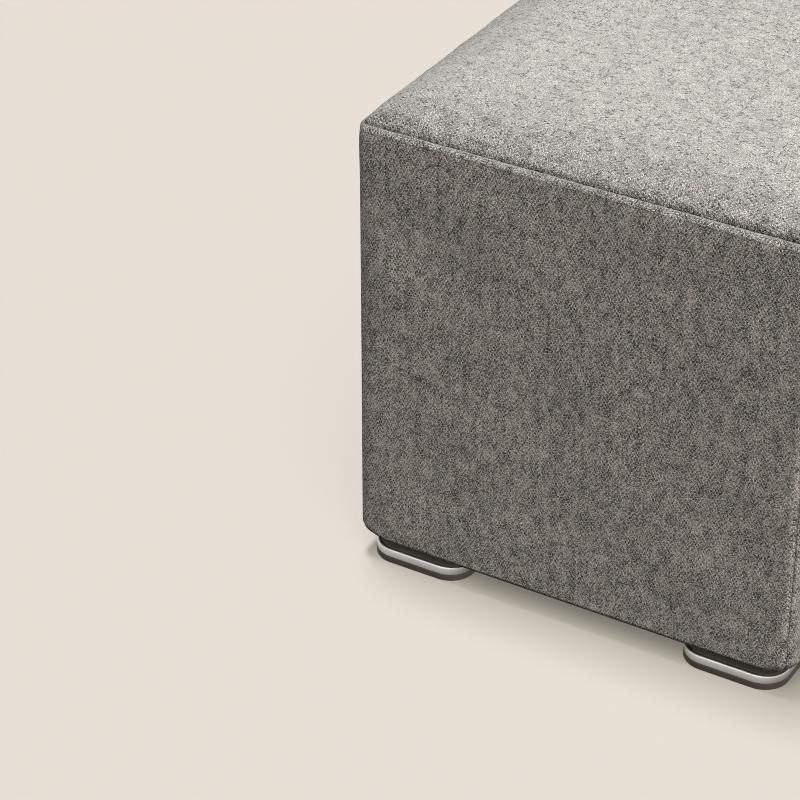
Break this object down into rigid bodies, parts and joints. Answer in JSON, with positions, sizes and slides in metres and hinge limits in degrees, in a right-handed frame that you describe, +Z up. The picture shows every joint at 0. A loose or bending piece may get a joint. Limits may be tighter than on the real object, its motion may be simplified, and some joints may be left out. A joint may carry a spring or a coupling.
{
  "type": "cube pouf stool",
  "caption": "Upholstered cube pouf with a crowned seat, flat fabric side panels and low dark feet with metal bands.",
  "frame": {"origin": "centre of the footprint on the floor, at the soles of the feet", "axes": "+Z up to the seat, -Y towards the front panel, +X towards the right panel"},
  "size_m": [0.4, 0.4, 0.4455],
  "materials": {
    "upholstery": "matt warm grey melange weave with charcoal slubs",
    "underside_cloth": "matt dark non-woven cloth",
    "foot_plastic": "satin dark brown",
    "foot_metal": "satin"
  },
  "bodies": {
    "root": {"seat_panel": "upholstery", "front_panel": "upholstery", "right_panel": "upholstery", "back_panel": "upholstery", "left_panel": "upholstery", "underside_panel": "underside_cloth", "foot_front_left": "foot_plastic", "foot_front_right": "foot_plastic", "foot_back_left": "foot_plastic", "foot_back_right": "foot_plastic", "band_front_left": "foot_metal", "band_front_right": "foot_metal", "band_back_left": "foot_metal", "band_back_right": "foot_metal"}
  },
  "joints": []
}
